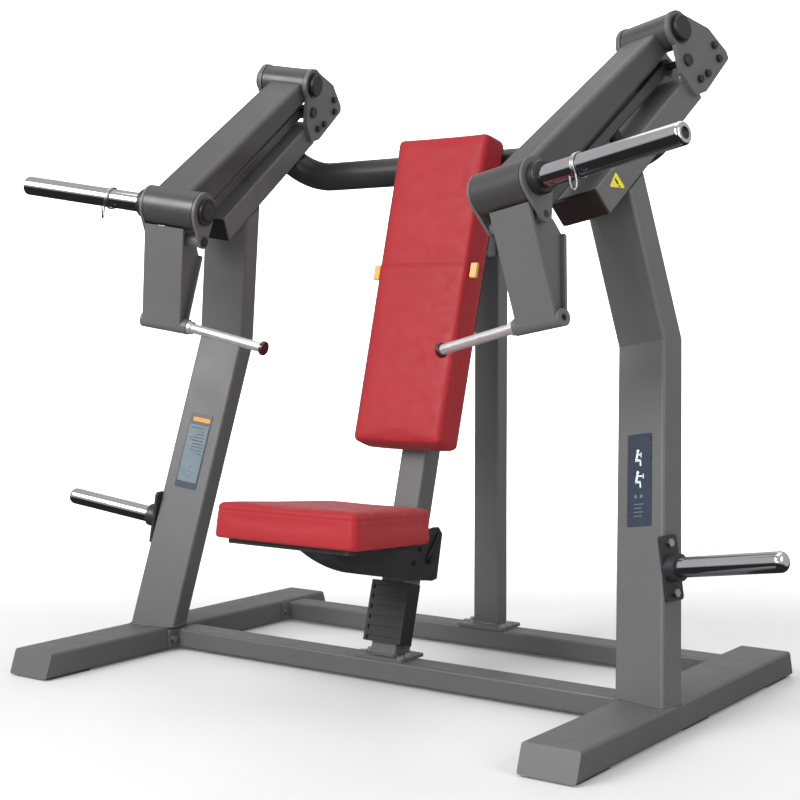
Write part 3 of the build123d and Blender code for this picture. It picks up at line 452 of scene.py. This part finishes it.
def placard_point(across, up, side, lift):
    """Point on a placard: millimetres outward and up from its centre, lifted off its face."""
    length = hypot(1, SHIN_SLOPE)
    rear = KNEE[0] + SHIN_SLOPE * (PLACARD_MID - KNEE[1] + up / length) - lift / length
    height = PLACARD_MID + (up + lift * SHIN_SLOPE) / length
    return side_point(rear, height, FRAME_MID + across, side)


def decal(name, shapes, finish, side):
    """Flat printed shapes on a placard: each is a list of (across, up) corners."""
    solids = [[[placard_point(x, y, side, lift) for x, y in shape]
               for lift in (PRINT_LOW, PRINT_HIGH)] for shape in shapes]
    piece(name, solid_mesh(name, solids), finish, "frame", smooth=False)


def disc(x, y, r):
    """Round outline."""
    return [(x + r * cos(t), y + r * sin(t)) for t in round_steps(20)]


def bar(x0, y0, x1, y1, w):
    """Round-ended stroke between two points."""
    length = hypot(x1 - x0, y1 - y0)
    dx, dy = (x1 - x0) / length, (y1 - y0) / length
    turn = [pi / 2 + pi * k / 6 for k in range(7)]
    rim = [(w * (dx * cos(t) - dy * sin(t)), w * (dy * cos(t) + dx * sin(t))) for t in turn]
    return [(x0 + rx, y0 + ry) for rx, ry in rim] + [(x1 - rx, y1 - ry) for rx, ry in rim]


def figure(x, y, s, reach):
    """Generic seated figure with its arms reaching out."""
    limbs = [                           # ends of each stroke, then its half width
        (-3, 8, -6, -6, 2.6),
        (-6, -6, 4, -6, 2.2),
        (4, -6, 5, -16, 1.9),
        (-3, 6, reach, 5, 1.6),
        (reach, 9, reach, 1, 1.2),
    ]
    body = [bar(x + x0 * s, y + y0 * s, x + x1 * s, y + y1 * s, w * s)
            for x0, y0, x1, y1, w in limbs]
    return [disc(x - 2 * s, y + 13 * s, 3.4 * s)] + body


def lines(left, top, rights, width):
    """Rows of plain strokes that stand for text, one for each right-hand end."""
    heights = [top - LINE_STEP * k for k in range(len(rights))]
    return [bar(left, up, right, up, width) for up, right in zip(heights, rights)]


spots = [disc(-10, -38, 4.0), disc(6, -38, 4.0)]
decal("right_placard_figures", figure(-2, 52, 1.15, 6) + figure(-2, 2, 1.15, 12), WHITE, 1)
decal("right_placard_notes", lines(-14, -56, [12, 7] * 2, 1.0) + spots, SLATE, 1)
decal("left_placard_header", [[(-30, 84), (24, 84), (24, 96), (-30, 96)]], ORANGE, -1)
decal("left_placard_panel", [[(-31, -88), (31, -88), (31, 74), (-31, 74)]], SLATE, -1)
decal("left_placard_lines", lines(-24, 66, [20, 14, 8] * 3, 0.9) + figure(-2, -56, 0.8, 7),
      WHITE, -1)

# ------------------------------------------------------------ spring clips
HUB = (-175.0, 1102.0)      # pivot of each arm, which its weight horn runs along
HORN_R = 25.0
CLIP_OUT = 933.0            # middle of the clip, outward
COIL_GAP = 2.4              # from the horn's face to the middle of the wire
COIL_W = 9.0
COIL_TURNS = 2.75
COIL_STEPS = 66
COIL_START = 0.35 - pi / 2
WIRE_R = 0.0021
LOOP = [                    # metres outward, rearward and up from the coil's end
    (0.004, 0.004, -0.014),
    (0.007, 0.003, -0.036),
    (0.004, -0.004, -0.047),
    (-0.002, -0.010, -0.040),
    (-0.003, -0.012, -0.016),
]


def around(centre, radius, angle, out, side):
    """Point on a circle about a pivot direction."""
    return side_point(centre[0] + radius * cos(angle), centre[1] + radius * sin(angle), out, side)


def clip_wire(side):
    """Coiled wire round the horn that ends in a hanging loop to squeeze."""
    points = []
    for k in range(COIL_STEPS + 1):
        part = k / COIL_STEPS
        angle = COIL_START + 2 * pi * COIL_TURNS * part
        points.append(around(HUB, HORN_R + COIL_GAP, angle, CLIP_OUT + COIL_W * (part - 0.5), side))
    points += [points[-1] + Vector((x * side, y, z)) for x, y, z in LOOP]
    curve = bpy.data.curves.new("clip", "CURVE")
    curve.dimensions = "3D"
    curve.bevel_depth = WIRE_R
    curve.bevel_resolution = 3
    spline = curve.splines.new("NURBS")
    spline.points.add(len(points) - 1)
    for target, p in zip(spline.points, points):
        target.co = (*p, 1)
    spline.order_u = 3
    spline.use_endpoint_u = True
    holder = bpy.data.objects.new("clip_holder", curve)
    bpy.context.scene.collection.objects.link(holder)
    mesh = baked(holder)
    bpy.data.objects.remove(holder)
    return mesh


for word, side in SIDES:
    mesh = clip_wire(side)
    mesh.name = f"{word}_clip_wire"
    clip = piece(f"{word}_clip_wire", mesh, ZINC, f"{word}_clip")
    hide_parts(f"{word}_spring_clip")

# ----------------------------------------------- hub end caps and label marks
HUB_END = 638.0             # inner end of each hub, outward
CAP_RINGS = [               # towards the middle from the hub's end, then radius
    (0.2, 24.0),
    (2.6, 23.6),
    (3.6, 21.5),
    (4.2, 12.0),
    (3.6, 11.0),
    (3.6, 4.0),
]
CAP_SIDES = 40
BOOM_FRONT = (45.0, 1033.0)
BOOM_RISE = radians(37.0)
LABEL_MID = (72, 39)        # along and across the boom from its lower front corner
LABEL_FACE = 829.05         # outer face of the label, outward
MARK_T = 0.4


def hub_cap(name, side, body):
    """Turned cap over the inner end of a hub."""
    rings = [[around(HUB, radius, angle, HUB_END - inward, side) for angle in round_steps(CAP_SIDES)]
             for inward, radius in CAP_RINGS]
    piece(name, solid_mesh(name, [rings]), DARK_COAT, body, smooth=False)


def on_label(x, y, out, side):
    """Point on a boom's label: millimetres along and across the boom from its middle."""
    run, rise = LABEL_MID[0] + x, LABEL_MID[1] + y
    rear = BOOM_FRONT[0] + run * cos(BOOM_RISE) - rise * sin(BOOM_RISE)
    up = BOOM_FRONT[1] + run * sin(BOOM_RISE) + rise * cos(BOOM_RISE)
    return side_point(rear, up, out, side)


def label_mark(name, side):
    """Stroke and dot raised off the label."""
    solids = [[[on_label(x, y, out, side) for x, y in shape]
               for out in (LABEL_FACE, LABEL_FACE + MARK_T)]
              for shape in (bar(0, -3, 0, 8, 2.6), disc(0, -11, 2.6))]
    piece(name, solid_mesh(name, solids), INK, "frame", smooth=False)


for word, side in SIDES:
    hub_cap(f"{word}_hub_end_cap", side, f"{word}_arm")
    label_mark(f"{word}_label_mark", side)

# ------------------------------------------------------------------- stage
FLOOR = bpy.data.materials.new("studio_floor")
FLOOR.use_nodes = True
tree = FLOOR.node_tree
shader = tree.nodes["Principled BSDF"]
place = node(tree, "ShaderNodeTexCoord").outputs["Object"]
mottle = noise(tree, place, 1.4, 5.0)
tone = spread(tree, mottle.outputs["Fac"], 0, 1)
link(tree, mixed(tree, tone, (0.70,) * 3, (0.73,) * 3), shader.inputs["Base Color"])
shader.inputs["Emission Color"].default_value = (1, 1, 1, 1)
# the floor glows with painted light that brightens towards the back, into the plain white of the
# curved wall
away = node(tree, "ShaderNodeSeparateXYZ")
link(tree, place, away.inputs["Vector"])
painted_glow_fade = node(tree, "ShaderNodeMapRange", interpolation_type="SMOOTHSTEP")
painted_glow_fade.inputs["From Min"].default_value = 0.2
painted_glow_fade.inputs["From Max"].default_value = 3.6
painted_glow_fade.inputs["To Min"].default_value = 0.05
painted_glow_fade.inputs["To Max"].default_value = 0.85
link(tree, away.outputs["Y"], painted_glow_fade.inputs["Value"])
link(tree, painted_glow_fade.outputs["Result"], shader.inputs["Emission Strength"])
link(tree, spread(tree, mottle.outputs["Fac"], 0.42, 0.55), shader.inputs["Roughness"])

VIEW_TURN = radians(35.3)   # the floor is square to the photo's view
bm = bmesh.new()
profile = [(-9.0, 0.0), (5.0, 0.0), (7.0, 0.25), (8.3, 1.2), (8.8, 3.0), (9.0, 8.0)]
rows = [[bm.verts.new((x, y, z)) for y, z in profile] for x in (-14.0, -4.0, 4.0, 14.0)]
for a, b in zip(rows, rows[1:]):
    for i in range(len(profile) - 1):
        bm.faces.new((a[i], b[i], b[i + 1], a[i + 1]))
floor_mesh = bpy.data.meshes.new("studio_floor")
bm.to_mesh(floor_mesh)
bm.free()
floor_mesh.materials.append(FLOOR)
floor_mesh.shade_smooth()
floor = bpy.data.objects.new("studio_floor", floor_mesh)
floor.rotation_euler.z = VIEW_TURN
floor.visible_glossy = False
bpy.context.scene.collection.objects.link(floor)


def softbox(name, where, aim, size, power):
    """Rectangular lamp aimed at a point."""
    lamp = bpy.data.lights.new(name, "AREA")
    lamp.shape = "RECTANGLE"
    lamp.size, lamp.size_y = size
    lamp.energy = power
    holder = bpy.data.objects.new(name, lamp)
    holder.location = where
    holder.rotation_euler = (Vector(aim) - Vector(where)).to_track_quat("-Z", "Y").to_euler()
    bpy.context.scene.collection.objects.link(holder)


softbox("key", (-1.6, -4.6, 3.4), (0, 0, 0.8), (3.0, 2.4), 228)
softbox("front_strip", (0.7, -4.9, 1.25), (0, 0, 1.0), (2.6, 0.7), 42)
softbox("side_fill", (4.6, -0.6, 2.6), (0, 0, 0.8), (2.4, 2.4), 62)
softbox("top", (0.0, 0.6, 4.6), (0, 0, 0), (4.5, 4.5), 62)
softbox("backdrop", (-2.4, 3.4, 4.4), (-4.0, 7.0, 1.5), (4.0, 3.0), 320)

# even white surroundings; reflections see them fall to dark below the horizon
world = bpy.data.worlds.new("studio")
bpy.context.scene.world = world
world.use_nodes = True
tree = world.node_tree
sky = node(tree, "ShaderNodeSeparateXYZ")
link(tree, node(tree, "ShaderNodeTexCoord").outputs["Generated"], sky.inputs["Vector"])
ramp = node(tree, "ShaderNodeValToRGB")
ramp.color_ramp.elements[0].position = 0.42
ramp.color_ramp.elements[0].color = (0.05, 0.05, 0.05, 1)
ramp.color_ramp.elements[1].position = 0.51
ramp.color_ramp.elements[1].color = (1, 1, 1, 1)
height = node(tree, "ShaderNodeMapRange")
height.inputs["From Min"].default_value = -1.0
link(tree, sky.outputs["Z"], height.inputs["Value"])
link(tree, height.outputs["Result"], ramp.inputs["Fac"])
shine = node(tree, "ShaderNodeMix", data_type="RGBA")
shine.inputs["A"].default_value = (1, 1, 1, 1)
link(tree, node(tree, "ShaderNodeLightPath").outputs["Is Glossy Ray"], shine.inputs["Factor"])
link(tree, ramp.outputs["Color"], shine.inputs["B"])
link(tree, shine.outputs["Result"], tree.nodes["Background"].inputs["Color"])
tree.nodes["Background"].inputs["Strength"].default_value = 0.48
bpy.context.scene.view_settings.view_transform = "Standard"

# ------------------------------------------------------------------ camera
AZIMUTH = radians(35.31)
PITCH = radians(2.80)
lens = bpy.data.cameras.new("camera")
lens.lens = 67.66
lens.sensor_width = 36.0
camera = bpy.data.objects.new("camera", lens)
camera.location = (2.2208, -3.138, 0.900)
gaze = Vector((-sin(AZIMUTH) * cos(PITCH), cos(AZIMUTH) * cos(PITCH), -sin(PITCH)))
camera.rotation_euler = gaze.to_track_quat("-Z", "Y").to_euler()
bpy.context.scene.collection.objects.link(camera)
bpy.context.scene.camera = camera
